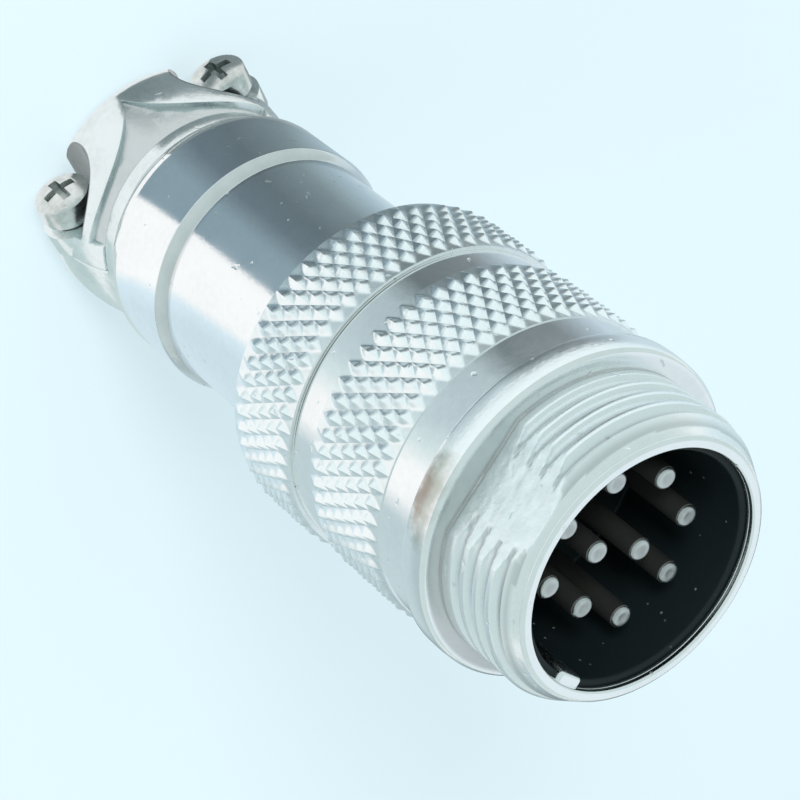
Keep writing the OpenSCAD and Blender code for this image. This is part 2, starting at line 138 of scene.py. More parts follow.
def lathe(bm, profile, steps=160):
    """Turn a closed profile of (radius, height) points round the plug's axis."""
    verts = [bm.verts.new((r * MM, 0, z * MM)) for r, z in profile]
    edges = [bm.edges.new(pair) for pair in zip(verts, verts[1:] + verts[:1])]
    bmesh.ops.spin(bm, geom=verts + edges, cent=CENTRE, axis=AXIS, angle=2 * math.pi, steps=steps,
                   use_merge=True)
    bmesh.ops.remove_doubles(bm, verts=bm.verts, dist=WELD)


def held(profile, gap=0.25):
    """The profile with a point added near both ends of each long line, so that flat faces shade flat."""
    points = []
    for (r, z), (next_r, next_z) in zip(profile, profile[1:] + profile[:1]):
        points.append((r, z))
        length = math.hypot(next_r - r, next_z - z)
        if length > 3 * gap:
            for share in (gap / length, 1 - gap / length):
                points.append((r + (next_r - r) * share, z + (next_z - z) * share))
    return points


def soften(bm, width, sharp=25, segments=3):
    """Round the edges whose faces meet at more than the sharp angle, in degrees."""
    edges = [e for e in bm.edges if len(e.link_faces) == 2 and e.calc_face_angle(0) > math.radians(sharp)]
    bmesh.ops.bevel(bm, geom=edges, offset=width * MM, offset_type="OFFSET", affect="EDGES",
                    segments=segments, profile=0.5, material=-1, clamp_overlap=True)


def join_into(bm, part):
    """Add the mesh of one bmesh to another."""
    mesh = bpy.data.meshes.new("part")
    part.to_mesh(mesh)
    part.free()
    bm.from_mesh(mesh)
    bpy.data.meshes.remove(mesh)


def place(name, bm, body, nodes, material, crease=32, satin=None, painted_shade_and_grime=None):
    """Make a finished piece of the mesh, riding on a body in place of its nodes.

    satin tells, from a point's place in millimetres, how dull the metal is there; the other rule tells how
    far painted shade and dirt darken it there."""
    bmesh.ops.remove_doubles(bm, verts=bm.verts, dist=WELD)
    bmesh.ops.dissolve_degenerate(bm, edges=bm.edges, dist=WELD)
    bmesh.ops.recalc_face_normals(bm, faces=bm.faces)
    for label, rule in (("satin", satin), ("painted_shade_and_grime", painted_shade_and_grime)):
        if rule:
            layer = bm.verts.layers.float.new(label)
            for v in bm.verts:
                v[layer] = rule(v.co / MM)
    mesh = bpy.data.meshes.new(name)
    bm.to_mesh(mesh)
    bm.free()
    mesh.shade_smooth()
    mesh.set_sharp_from_angle(angle=math.radians(crease))
    piece = bpy.data.objects.new(name, mesh)
    bpy.context.scene.collection.objects.link(piece)
    piece.data.materials.append(material)
    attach(piece, body)
    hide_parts(*nodes)
    return piece


# Pieces of the plug

def knurl_belt(z, rows, points_r):
    """A belt of diamonds: one column of them, copied round the axis, with worn points and edges."""
    bm = bmesh.new()
    half = math.pi / KNURL_COUNT
    root = points_r - KNURL_DEPTH

    def point(r, i, j):
        x, y = r * math.cos(i * half), r * math.sin(i * half)
        return bm.verts.new((x * MM, y * MM, (z + j * KNURL_ROW) * MM))

    def radius(i, j):
        return points_r if 0 < j < rows and (i + j) % 2 == 0 else root

    grid = [[point(radius(i, j), i, j) for i in range(3)] for j in range(rows + 1)]
    wall = [[point(KNURL_WALL_R, i, j) for i in range(3)] for j in (0, rows)]
    for j in range(rows):
        for i in range(2):
            a, b, c, d = grid[j][i], grid[j][i + 1], grid[j + 1][i + 1], grid[j + 1][i]
            if (i + j) % 2 == 0:
                bm.faces.new((a, b, d))
                bm.faces.new((b, c, d))
            else:
                bm.faces.new((a, b, c))
                bm.faces.new((a, c, d))
    for i in range(2):
        bm.faces.new((grid[0][i + 1], grid[0][i], wall[0][i], wall[0][i + 1]))
        bm.faces.new((grid[rows][i], grid[rows][i + 1], wall[1][i + 1], wall[1][i]))
        bm.faces.new((wall[0][i + 1], wall[0][i], wall[1][i], wall[1][i + 1]))
    turn = 2 * math.pi * (KNURL_COUNT - 1) / KNURL_COUNT
    bmesh.ops.spin(bm, geom=whole(bm), cent=CENTRE, axis=AXIS, angle=turn, steps=KNURL_COUNT - 1,
                   use_duplicate=True)
    bmesh.ops.remove_doubles(bm, verts=bm.verts, dist=LOOSE_WELD)
    skin = [f for f in bm.faces if all(v.co.xy.length > (root - 0.01) * MM for v in f.verts)]
    edges = list({e for f in skin for e in f.edges})
    bmesh.ops.subdivide_edges(bm, edges=edges, cuts=KNURL_CUTS, use_grid_fill=True)
    inside = [v for v in bm.verts if not v.is_boundary and v.co.xy.length > (root - 0.02) * MM
              and KNURL_ROW * 0.2 < v.co.z / MM - z < (rows - 0.2) * KNURL_ROW]
    bmesh.ops.smooth_vert(bm, verts=inside, factor=KNURL_WEAR, use_axis_x=True, use_axis_y=True,
                          use_axis_z=True)
    return bm


def knurl_satin(p):
    """The knurl is duller than the band that it stands on."""
    return 0.45 if p.xy.length > BAND_R + 0.02 else 0.0


def knurl_painted_shade(p, points_r, z, turn=0.0):
    """Painted shade of the knurl: a little in all grooves, more on the diamonds' sides that face the clamp.
    """
    if p.xy.length < BAND_R + 0.02:
        return 0.0
    angle = math.atan2(p.y, p.x)
    column = (angle - turn) * KNURL_COUNT / math.pi
    row = (p.z - z) / KNURL_ROW
    across = math.remainder((column + row) / 2, 1)
    along = math.remainder((column - row) / 2, 1)
    side = smooth_step(0.12, 0.42, -across) * (1 - smooth_step(0.22, 0.46, abs(along)))
    # Painted shade on those sides fades out between 112 and 142 degrees round the axis, on the side where
    # the light falls
    shaded = 1 - smooth_step(112, 142, math.degrees(angle))
    groove = smooth_step(0.2, KNURL_DEPTH, points_r - p.xy.length)
    return 0.03 * groove + 0.06 * side * shaded


def thread_point(co, groove_z):
    """Where a point of the full thread ends up, after its run-in, the two flats and the mouth's lead."""
    r, z = co.xy.length / MM, co.z / MM
    a = math.remainder(math.atan2(co.y, co.x) - FRONT_TURN, 2 * math.pi)
    turn = round((z - groove_z) / THREAD_PITCH - a / (2 * math.pi))
    cut = math.degrees(a) + 360 * turn - THREAD_START_ANGLE
    off = math.degrees(abs(math.remainder(a - math.pi / 2, math.pi)))
    ragged = 3 * grain.noise(co * 1400)
    depth = (THREAD_R - r) * smooth_step(0, THREAD_FADE, cut) * smooth_step(8, 14, off + ragged)
    r = min(THREAD_R - depth, RIM_R + LEAD_RISE * (MOUTH_Z - RIM_DROP - z))
    flat = FLAT_D + 0.03 * grain.noise(co * 1500) - 0.02
    x, y = r * math.cos(a), max(-flat, min(flat, r * math.sin(a)))
    return Matrix.Rotation(FRONT_TURN, 3, "Z") @ Vector((x * MM, y * MM, z * MM))


def thread_sleeve():
    """Right-hand thread on the barrel, cut off by two pressed flats and by the mouth's lead."""
    bm = bmesh.new()
    low, high = BARREL_Z - 0.1, MOUTH_Z - 0.2
    turns = int((high - low) / THREAD_PITCH) + 4
    shape = ((0.0, 0), (0.07, 0.05), (0.16, 0.42), (0.25, 0.8), (0.31, 0.95), (0.38, 1),
             (0.62, 1), (0.69, 0.95), (0.75, 0.8), (0.84, 0.42), (0.93, 0.05))
    groove_z = BARREL_Z + THREAD_START - THREAD_START_ANGLE / 360 * THREAD_PITCH
    start = groove_z - FRONT_TURN / (2 * math.pi) * THREAD_PITCH - 2 * THREAD_PITCH
    profile = [(THREAD_ROOT_R + (THREAD_R - THREAD_ROOT_R) * h, start + (k + t) * THREAD_PITCH)
               for k in range(turns) for t, h in shape]
    verts = [bm.verts.new((r * MM, 0, z * MM)) for r, z in profile]
    edges = [bm.edges.new(pair) for pair in zip(verts, verts[1:])]
    climb = (0, 0, THREAD_PITCH * MM / THREAD_STEPS)
    bmesh.ops.spin(bm, geom=verts + edges, cent=CENTRE, axis=AXIS, dvec=climb, angle=2 * math.pi,
                   steps=THREAD_STEPS)
    bmesh.ops.remove_doubles(bm, verts=bm.verts, dist=2 * LOOSE_WELD)
    for height, up in ((low, False), (high, True)):
        bmesh.ops.bisect_plane(bm, geom=whole(bm), dist=WELD, plane_co=(0, 0, height * MM), plane_no=AXIS,
                               clear_inner=not up, clear_outer=up)
    for v in bm.verts:
        v.co = thread_point(v.co, groove_z)
    rims = [[e for e in bm.edges if e.is_boundary and abs(e.verts[0].co.z / MM - h) < 0.01
             and abs(e.verts[1].co.z / MM - h) < 0.01] for h in (low, high)]
    for rim in rims:
        ring = bmesh.ops.extrude_edge_only(bm, edges=rim)["geom"]
        for v in ring:
            if isinstance(v, bmesh.types.BMVert):
                v.co.xy = v.co.xy.normalized() * SLEEVE_R * MM
    return bm


def mouth_rim():
    """The narrow rim round the mouth."""
    bm = bmesh.new()
    lathe(bm, [(RIM_BORE_R, MOUTH_Z - RIM_FOOT), (RIM_R, MOUTH_Z - RIM_FOOT), (RIM_R, MOUTH_Z - RIM_DROP),
               (6.95, MOUTH_Z - 0.02), (6.62, MOUTH_Z), (RIM_BORE_R, MOUTH_Z - 0.1)], steps=FINE_STEPS)
    soften(bm, 0.04)
    return bm


def mouth_key():
    """The key that stands in the mouth."""
    bm = bmesh.new()
    bmesh.ops.create_cube(bm, size=1)
    bmesh.ops.scale(bm, vec=Vector(KEY_SIZE) * MM, verts=bm.verts)
    key_z = MOUTH_Z - KEY_DROP - KEY_SIZE[2] / 2
    bmesh.ops.translate(bm, vec=Vector((-KEY_D, 0, key_z)) * MM, verts=bm.verts)
    soften(bm, 0.28, segments=4)
    turn_round(bm, FRONT_TURN)
    return bm


def on_flat(p):
    """Whether a point lies on one of the barrel's pressed flats."""
    pressed = abs((Matrix.Rotation(-FRONT_TURN, 3, "Z") @ p).y) > FLAT_D - 0.09
    return pressed and BARREL_Z + 0.1 < p.z < MOUTH_Z - 0.05


def shell_satin(p):
    """Polished flange and rim, duller thread, rough pressed flats."""
    if p.z < BARREL_Z + 0.01:
        return 0.1
    if p.z > MOUTH_Z - 0.5:
        return 0.2
    return 0.9 if on_flat(p) else 0.5 if p.xy.length > 6.9 else 0.3


def shell_shade_and_dirt(p):
    """Painted shade on the flange's face, mostly from 125 to 280 degrees, in the corner at the barrel's foot
    and in the thread's roots; random dirt on the pressed flats.
    """
    if abs(p.z - BARREL_Z) < 0.01 and p.xy.length < FLANGE_R - 0.3:
        around = math.degrees(math.atan2(p.y, p.x)) % 360
        spread = smooth_step(60, 125, around) * smooth_step(340, 280, around)
        return 0.08 + (0.27 + 0.09 * smooth_step(130, 175, around)) * spread
    if p.z < BARREL_Z + 0.01 or p.z > MOUTH_Z - 0.6 or p.xy.length < 7.2:
        return 0.0
    foot = 0.6 * smooth_step(0.22, 0.02, p.z - BARREL_Z)
    if on_flat(p):
        return max(foot, 0.03 + 0.1 * grain.noise(p * 1.9))
    return max(foot, 0.3 * smooth_step(0.25, 0.5, THREAD_R - p.xy.length))


def front_shell(material):
    """Spigot, crowned flange and threaded barrel, with the rim and the key of its mouth."""
    bm = bmesh.new()
    crown = [(FLANGE_R - CROWN_DROP * (t - 0.3) ** 2, FLANGE_Z + 0.1 + CROWN_LENGTH * t) for t in FIFTHS]
    lathe(bm, held([
        (SHELL_BORE_R, SPIGOT_Z), (SPIGOT_R, SPIGOT_Z), (SPIGOT_R, FLANGE_Z), (FLANGE_R - 0.05, FLANGE_Z),
        *crown, (FLANGE_R - 0.22, BARREL_Z), (CORE_R, BARREL_Z),
        (CORE_R, MOUTH_Z - 0.3), (SLEEVE_R, MOUTH_Z - 0.25), (6.68, MOUTH_Z - 0.25),
        (LIP_R, MOUTH_Z - 0.3), (LIP_R, MOUTH_Z - 0.5), (SHELL_BORE_R, MOUTH_Z - 0.5),
    ]), steps=FINE_STEPS)
    soften(bm, 0.08)
    for part in (thread_sleeve(), mouth_rim(), mouth_key()):
        join_into(bm, part)
    return place("threaded_front_shell", bm, "front", ["front_shell"], material,
                 satin=shell_satin, painted_shade_and_grime=shell_shade_and_dirt)


def front_ring(material):
    """Smooth ring behind the flange with a knurled belt."""
    bm = bmesh.new()
    bore = SPIGOT_R + RING_PLAY
    lathe(bm, held([(bore, RING_Z), (BAND_R, RING_Z), (BAND_R, RING_TOP_Z), (bore, RING_TOP_Z)]))
    soften(bm, 0.1)
    belt = knurl_belt(RING_KNURL_Z, RING_ROWS, RING_KNURL_R)
    turn_round(belt, FRONT_TURN)
    join_into(bm, belt)
    return place("knurled_front_ring", bm, "front", ["front_ring"], material,
                 satin=knurl_satin, painted_shade_and_grime=lambda p: knurl_painted_shade(p, RING_KNURL_R, RING_KNURL_Z, FRONT_TURN))


def tail_shade_and_dirt(p):
    """The sloping step between the collar and the tube made darker in random patches, with painted shade
    deepening into the corner at the tube; and the knurl's painted shade.
    """
    on_step = STEP_Z - 0.05 < p.z < STEP_TOP_Z + 0.12 and TUBE_R - 0.05 < p.xy.length < COLLAR_R - 0.02
    if on_step:
        inner = smooth_step(0.35, 0.05, p.xy.length - TUBE_R)
        return 0.14 + 0.1 * inner + 0.06 * grain.noise(p * 0.9)
    return knurl_painted_shade(p, TAIL_KNURL_R, TAIL_KNURL_Z)


def tail_shell(material):
    """Collar with a rounded end, step, tube and knurled grip, with the bores and the split ring's groove."""
    lead = [(COLLAR_R - COLLAR_ROUND * (1 - math.sin(t * math.pi / 2)), TAIL_Z + COLLAR_LEAD * t)
            for t in FIFTHS]
    bm = bmesh.new()
    lathe(bm, held([
        (NECK_BORE_R, TAIL_Z), *lead, (COLLAR_R, STEP_Z), (TUBE_R, STEP_TOP_Z), (TUBE_R, TAIL_KNURL_Z),
        (BAND_R, TAIL_KNURL_Z), (BAND_R, TAIL_LIP_Z), (SOCKET_R, TAIL_LIP_Z), (SOCKET_R, SOCKET_Z),
        (TAIL_BORE_R, SOCKET_Z), (TAIL_BORE_R, NECK_FLOOR_Z), (NECK_BORE_R, NECK_FLOOR_Z),
        (NECK_BORE_R, GROOVE_TOP_Z), (GROOVE_R, GROOVE_TOP_Z), (GROOVE_R, GROOVE_Z), (NECK_BORE_R, GROOVE_Z),
    ]))
    soften(bm, 0.08)
    join_into(bm, knurl_belt(TAIL_KNURL_Z, TAIL_ROWS, TAIL_KNURL_R))
    return place("knurled_tail", bm, "tail", ["tail_shell"], material,
                 satin=knurl_satin, painted_shade_and_grime=tail_shade_and_dirt)


def contact_insert(material):
    """Black cup with the thick floor that carries the pins."""
    bm = bmesh.new()
    lathe(bm, held([(0, INSERT_Z), (INSERT_R, INSERT_Z), (INSERT_R, CUP_Z), (CUP_R, CUP_Z),
                    (CUP_R, FLOOR_Z), (0, FLOOR_Z)]))
    soften(bm, 0.15)
    return place("black_insert", bm, "front", ["contact_insert"], material)


def contact_pin(index, material):
    """One pin with a rounded, slightly hollowed tip and a bored solder cup."""
    if index < OUTER_PINS:
        radius = PIN_RING_R if index else KEY_PIN_R
        angle = 180 + 360 / OUTER_PINS * index
    else:
        radius = INNER_PIN_R
        angle = INNER_PIN_ANGLE + 180 * (index - OUTER_PINS)
    bm = bmesh.new()
    tip = [(PIN_R - TIP_ROUND * (1 - math.cos(t)), TIP_Z - TIP_ROUND + TIP_ROUND * math.sin(t))
           for t in (0, 0.35, 0.7, 1.05, 1.4)]
    cup_z, foot_z = SOLDER_Z + SOLDER_DEPTH, INSERT_Z - 0.03
    lathe(bm, [(0, cup_z), (SOLDER_BORE_R, cup_z), (SOLDER_BORE_R, SOLDER_Z), (SOLDER_R, SOLDER_Z),
               (SOLDER_R, foot_z), (PIN_R, foot_z), (PIN_R, TIP_Z - 0.36), *tip,
               (0.2, TIP_Z - 0.02), (0, TIP_Z - 0.05)], steps=PIN_STEPS)
    turn = FRONT_TURN + math.radians(angle)
    bmesh.ops.translate(bm, vec=Vector((radius, 0, 0)) * MM, verts=bm.verts)
    turn_round(bm, turn)
    middle = Matrix.Rotation(turn, 3, "Z") @ Vector((radius, 0, 0))

    # Painted shade: a little in the middle of the tip's hollow, and the whole pin below its tip painted near
    # black and not metal, as shade deep in the black cup
    def painted_shade_and_grime(p):
        hollow = 0.2 if (p - middle).xy.length < 0.25 else 0.0
        return max(hollow, 1 - smooth_step(TIP_Z - 0.21, TIP_Z - 0.15, p.z))

    name = f"pin_{index + 1}"
    return place(f"contact_{name}", bm, "front", [name], material, painted_shade_and_grime=painted_shade_and_grime)


def cast_piece(name, node, body, material, rounding, painted_shade_and_grime=None):
    """A cast or headed piece: its solid's own mesh with rounded edges."""
    bm = bmesh.new()
    bm.from_mesh(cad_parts[node].data)
    bmesh.ops.remove_doubles(bm, verts=bm.verts, dist=LOOSE_WELD)
    bmesh.ops.dissolve_limit(bm, angle_limit=math.radians(0.4), verts=bm.verts, edges=bm.edges)
    soften(bm, rounding, sharp=28)
    return place(name, bm, body, [node], material, crease=40, painted_shade_and_grime=painted_shade_and_grime)


def slope_painted_shade(p):
    """Painted shade on the saddle's slope, which lies sunk below the clamp's full outside."""
    full = CLAMP_R - DOME_R + math.sqrt(DOME_R ** 2 - max(0, p.z - GRIP_Z) ** 2)
    return 0.26 if p.z > CUSP_Z - 0.1 and p.xy.length < full - 0.12 else 0.0


def clamp_screw(name, node, body, material):
    """A clamp screw with painted shade in its cross recess."""
    low, high = (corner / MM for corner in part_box(node))
    middle = (low + high) / 2
    top = high.y

    def painted_shade_and_grime(p):
        off = Vector((p.x - middle.x, p.z - middle.z)).length
        crown = top - HEAD_RISE * (off / HEAD_R) ** 2
        in_recess = off < RECESS_R and p.y > top - RECESS_DEPTH
        return 0.22 * smooth_step(0.1, 0.5, crown - p.y) if in_recess else 0.0

    return cast_piece(name, node, body, material, 0.06, painted_shade_and_grime)


# Node helpers

def feed(tree, sockets, values):
    """Set each socket to a fixed value, or link it to an output of another node."""
    for socket, value in zip(sockets, values):
        if isinstance(value, bpy.types.NodeSocket):
            tree.links.new(value, socket)
        else:
            socket.default_value = value


def blank_material(name):
    """A new material and its node tree."""
    material = bpy.data.materials.new(name)
    material.use_nodes = True
    return material, material.node_tree


def object_place(tree):
    """A point's place in the object's own frame."""
    return tree.nodes.new("ShaderNodeTexCoord").outputs["Object"]


def attribute(tree, name):
    """A value stored with the vertices, 0 where there is none."""
    node = tree.nodes.new("ShaderNodeAttribute")
    node.attribute_name = name
    return node.outputs["Fac"]


def maths(tree, operation, *values, clamp=False):
    """A sum of fixed numbers and outputs of other nodes."""
    node = tree.nodes.new("ShaderNodeMath")
    node.operation = operation
    node.use_clamp = clamp
    feed(tree, node.inputs, values)
    return node.outputs[0]


def vector_maths(tree, operation, *values, output="Vector"):
    """A sum of fixed vectors and outputs of other nodes."""
    node = tree.nodes.new("ShaderNodeVectorMath")
    node.operation = operation
    feed(tree, node.inputs, values)
    return node.outputs[output]


def noise(tree, vector, scale, detail=2.0, roughness=0.5, output="Fac"):
    """Cloudy noise."""
    node = tree.nodes.new("ShaderNodeTexNoise")
    feed(tree, [node.inputs[label] for label in ("Vector", "Scale", "Detail", "Roughness")],
         (vector, scale, detail, roughness))
    return node.outputs[output]


def cells(tree, vector, scale):
    """Small cells, each with a distance from its middle and a colour of its own."""
    node = tree.nodes.new("ShaderNodeTexVoronoi")
    feed(tree, [node.inputs[label] for label in ("Vector", "Scale")], (vector, scale))
    return node.outputs["Distance"], node.outputs["Color"]


def ramp(tree, value, low, high):
    """0 before low, 1 past high, smooth between; low may be the larger one."""
    node = tree.nodes.new("ShaderNodeMapRange")
    node.interpolation_type = "SMOOTHSTEP"
    feed(tree, [node.inputs[label] for label in ("Value", "From Min", "From Max")], (value, low, high))
    return node.outputs["Result"]


def mix_colour(tree, factor, *colours):
    """Blend of two colours, each a fixed colour or an output of another node."""
    node = tree.nodes.new("ShaderNodeMix")
    node.data_type = "RGBA"
    colours = [(*c, 1) if isinstance(c, tuple) else c for c in colours]
    # The node's inputs 6 and 7 and its output 2 are the ones for colours
    feed(tree, (node.inputs["Factor"], node.inputs[6], node.inputs[7]), (factor, *colours))
    return node.outputs[2]


def add_bump(tree, height, strength, distance):
    """Relief of the material's shader."""
    bump = tree.nodes.new("ShaderNodeBump")
    feed(tree, [bump.inputs[label] for label in ("Height", "Strength", "Distance")],
         (height, strength, distance))
    tree.links.new(bump.outputs["Normal"], tree.nodes["Principled BSDF"].inputs["Normal"])


def glow(tree, colour):
    """Light of a surface in the studio."""
    node = tree.nodes.new("ShaderNodeEmission")
    feed(tree, (node.inputs["Color"],), (colour,))
    return node.outputs["Emission"]


def blend(tree, factor, first, second):
    """Blend of two shaders."""
    node = tree.nodes.new("ShaderNodeMixShader")
    feed(tree, node.inputs, (factor, first, second))
    return node.outputs["Shader"]


def surface_of(tree, shader):
    """Make a shader the material's surface."""
    tree.links.new(shader, tree.nodes["Material Output"].inputs["Surface"])


# Materials

def plated_skin_group():
    """Slow tone changes, fine peel, turning lines round the axis and small nicks of a plated surface."""
    group = bpy.data.node_groups.new("plated_skin", "ShaderNodeTree")
    group.interface.new_socket("Vector", in_out="INPUT", socket_type="NodeSocketVector")
    for label in ("Peel", "Turning", "Nicks"):
        group.interface.new_socket(label, in_out="INPUT", socket_type="NodeSocketFloat")
    for label in ("Tone", "Rough", "Height"):
        group.interface.new_socket(label, in_out="OUTPUT", socket_type="NodeSocketFloat")
    given = group.nodes.new("NodeGroupInput").outputs
    made = group.nodes.new("NodeGroupOutput").inputs
    vector = given["Vector"]
    cloud = noise(group, vector, 260, 4, 0.6)
    peel = noise(group, vector, 2600, 3, 0.55)
    lines = noise(group, vector_maths(group, "MULTIPLY", vector, (120, 120, 9000)), 1, 2, 0.7)
    drift = noise(group, vector, 900, output="Color")
    drift = vector_maths(group, "MULTIPLY", drift, (0.0012, 0.0012, 0.0012))
    warped = vector_maths(group, "MULTIPLY_ADD", vector, (1, 0.55, 0.8), drift)
    distance, colour = cells(group, warped, 1100)
    spot = ramp(group, distance, 0.15, 0.05)
    pick = group.nodes.new("ShaderNodeSeparateColor")
    group.links.new(colour, pick.inputs["Color"])
    rare = ramp(group, pick.outputs["Red"], 0.25, 0.3)
    nicks = maths(group, "MULTIPLY", maths(group, "MULTIPLY", spot, rare), given["Nicks"])
    tone = maths(group, "ADD", maths(group, "MULTIPLY", cloud, 0.7), maths(group, "MULTIPLY", peel, 0.3))
    rough = maths(group, "ADD", maths(group, "MULTIPLY", ramp(group, cloud, 0.35, 0.7), 0.07),
                  maths(group, "MULTIPLY", nicks, 0.35))
    height = maths(group, "ADD", maths(group, "MULTIPLY", peel, given["Peel"]),
                   maths(group, "MULTIPLY", lines, given["Turning"]))
    height = maths(group, "SUBTRACT", height, nicks)
    for label, value in (("Tone", tone), ("Rough", rough), ("Height", height)):
        group.links.new(value, made[label])
    return group


def patch_mask(angle, height, scale):
    """Rule for an uneven patch on the flange's side, long round the axis."""
    def mask(tree, place_at):
        local = tree.nodes.new("ShaderNodeMapping")
        local.vector_type = "TEXTURE"
        turn = Matrix.Rotation(math.radians(angle), 3, "Z")
        local.inputs["Location"].default_value = turn @ Vector((FLANGE_R, 0, height)) * MM
        local.inputs["Rotation"].default_value = (0, 0, math.radians(angle + 90))
        local.inputs["Scale"].default_value = Vector(scale) * MM
        tree.links.new(place_at, local.inputs["Vector"])
        off = vector_maths(tree, "LENGTH", local.outputs["Vector"], output="Value")
        uneven = maths(tree, "MULTIPLY_ADD", noise(tree, place_at, 900, 3, 0.6), 1.2, off)
        return ramp(tree, uneven, 1.6, 0.8)
    return mask


def pocket_shade_mask(tree, place_at):
    """Painted shade on the walls of the pockets round the screw heads."""
    parts = tree.nodes.new("ShaderNodeSeparateXYZ")
    tree.links.new(place_at, parts.inputs["Vector"])
    across = maths(tree, "SUBTRACT", maths(tree, "ABSOLUTE", parts.outputs["X"]), POCKET_X * MM)
    along = maths(tree, "SUBTRACT", parts.outputs["Z"], POCKET_Z * MM)
    square = maths(tree, "ADD", maths(tree, "MULTIPLY", across, across),
                   maths(tree, "MULTIPLY", along, along))
    inside = ramp(tree, maths(tree, "SQRT", square), POCKET_R * MM, (POCKET_R - 0.07) * MM)
    wall = ramp(tree, parts.outputs["Y"], POCKET_FLOOR_Y * MM, (POCKET_FLOOR_Y + 0.28) * MM)
    return maths(tree, "MULTIPLY", inside, wall)


def metal(name, skin, light, dark, roughness, peel, turning, nicks, shade_and_dirt_colour=(0.05, 0.06, 0.055), shade_hides_metal=False,
          marks=()):
    """Plated metal whose colour, polish and relief come from the shared skin.

    Where its painted shade and dirt run thick, a metal made with the flag set gives way to the dark colour.
    Each of the marks is a pair: a rule for the mask of a mark on the surface, a stain or a painted shade,
    and the mark's colour."""
    material, tree = blank_material(name)
    shader = tree.nodes["Principled BSDF"]
    place_at = object_place(tree)
    surface = tree.nodes.new("ShaderNodeGroup")
    surface.node_tree = skin
    feed(tree, [surface.inputs[label] for label in ("Vector", "Peel", "Turning", "Nicks")],
         (place_at, peel, turning, nicks))
    satin = attribute(tree, "satin")
    painted_shade_and_grime = attribute(tree, "painted_shade_and_grime")
    clean = mix_colour(tree, ramp(tree, surface.outputs["Tone"], 0.3, 0.62), dark, light)
    # Painted shade and dirt darken the colour towards the dark colour
    colour = mix_colour(tree, painted_shade_and_grime, mix_colour(tree, satin, clean, DULL_TINT), shade_and_dirt_colour)
    for mask, tint in marks:
        colour = mix_colour(tree, maths(tree, "MULTIPLY", mask(tree, place_at), 0.8), colour, tint)
    tree.links.new(colour, shader.inputs["Base Color"])
    # Where painted shade and dirt are thick, the metal gives way
    feed(tree, (shader.inputs["Metallic"],), (ramp(tree, painted_shade_and_grime, 0.8, 0.3) if shade_hides_metal else 1.0,))
    rough = maths(tree, "ADD", surface.outputs["Rough"], roughness)
    rough = maths(tree, "MULTIPLY_ADD", satin, 0.3, rough)
    tree.links.new(maths(tree, "MULTIPLY_ADD", painted_shade_and_grime, 0.15, rough, clamp=True), shader.inputs["Roughness"])
    grit = maths(tree, "MULTIPLY", noise(tree, place_at, 3800, 4, 0.65), ramp(tree, satin, 0.6, 1.0))
    add_bump(tree, maths(tree, "MULTIPLY_ADD", grit, 2.0, surface.outputs["Height"]), 1.0, METAL_RELIEF)
    return material


def phenolic():
    """Black moulded plastic with a faint sheen and grains of dust."""
    material, tree = blank_material("black_phenolic")
    shader = tree.nodes["Principled BSDF"]
    shader.inputs["Specular IOR Level"].default_value = 0.16
    place_at = object_place(tree)
    distance, _ = cells(tree, place_at, 1500)
    spot = ramp(tree, distance, 0.14, 0.06)
    dust = maths(tree, "MULTIPLY", spot, ramp(tree, noise(tree, place_at, 500), 0.5, 0.58))
    colour = mix_colour(tree, dust, (0.006, 0.0095, 0.0105), (0.15, 0.17, 0.18))
    tree.links.new(colour, shader.inputs["Base Color"])
    rough = maths(tree, "ADD", maths(tree, "MULTIPLY", noise(tree, place_at, 700, 3), 0.2), 0.34)
    rough = maths(tree, "ADD", rough, maths(tree, "MULTIPLY", dust, 0.4))
    tree.links.new(rough, shader.inputs["Roughness"])
    add_bump(tree, noise(tree, place_at, 1800), 0.4, 0.00003)
    return material


# Studio

def show(name, bm, material):
    """Put a mesh of the studio into the scene."""
    mesh = bpy.data.meshes.new(name)
    bm.to_mesh(mesh)
    bm.free()
    mesh.materials.append(material)
    thing = bpy.data.objects.new(name, mesh)
    bpy.context.scene.collection.objects.link(thing)
    return thing


def only_reflected(thing):
    """Let only the metal see a thing of the studio."""
    thing.visible_camera = False
    thing.visible_diffuse = False
    thing.visible_shadow = False


def floor():
    """Pale floor: it keeps a soft shadow, shows its pale blue to the camera and white in the metal."""
    material, tree = blank_material("pale_floor")
    shader = tree.nodes["Principled BSDF"]
    shader.inputs["Base Color"].default_value = (0.58, 0.665, 0.7, 1)
    shader.inputs["Roughness"].default_value = 0.9
    shader.inputs["Specular IOR Level"].default_value = 0.0
    path = tree.nodes.new("ShaderNodeLightPath")
    reflected = maths(tree, "MAXIMUM", path.outputs["Is Glossy Ray"], path.outputs["Is Transmission Ray"])
    light = glow(tree, mix_colour(tree, reflected, (0.768, 0.93, 0.991), WHITE))
    share = maths(tree, "MAXIMUM", maths(tree, "MULTIPLY", path.outputs["Is Camera Ray"], 0.62), reflected)
    surface_of(tree, blend(tree, share, shader.outputs["BSDF"], light))
    bm = bmesh.new()
    bmesh.ops.create_grid(bm, x_segments=1, y_segments=1, size=FLOOR_SIZE)
    show("floor", bm, material)


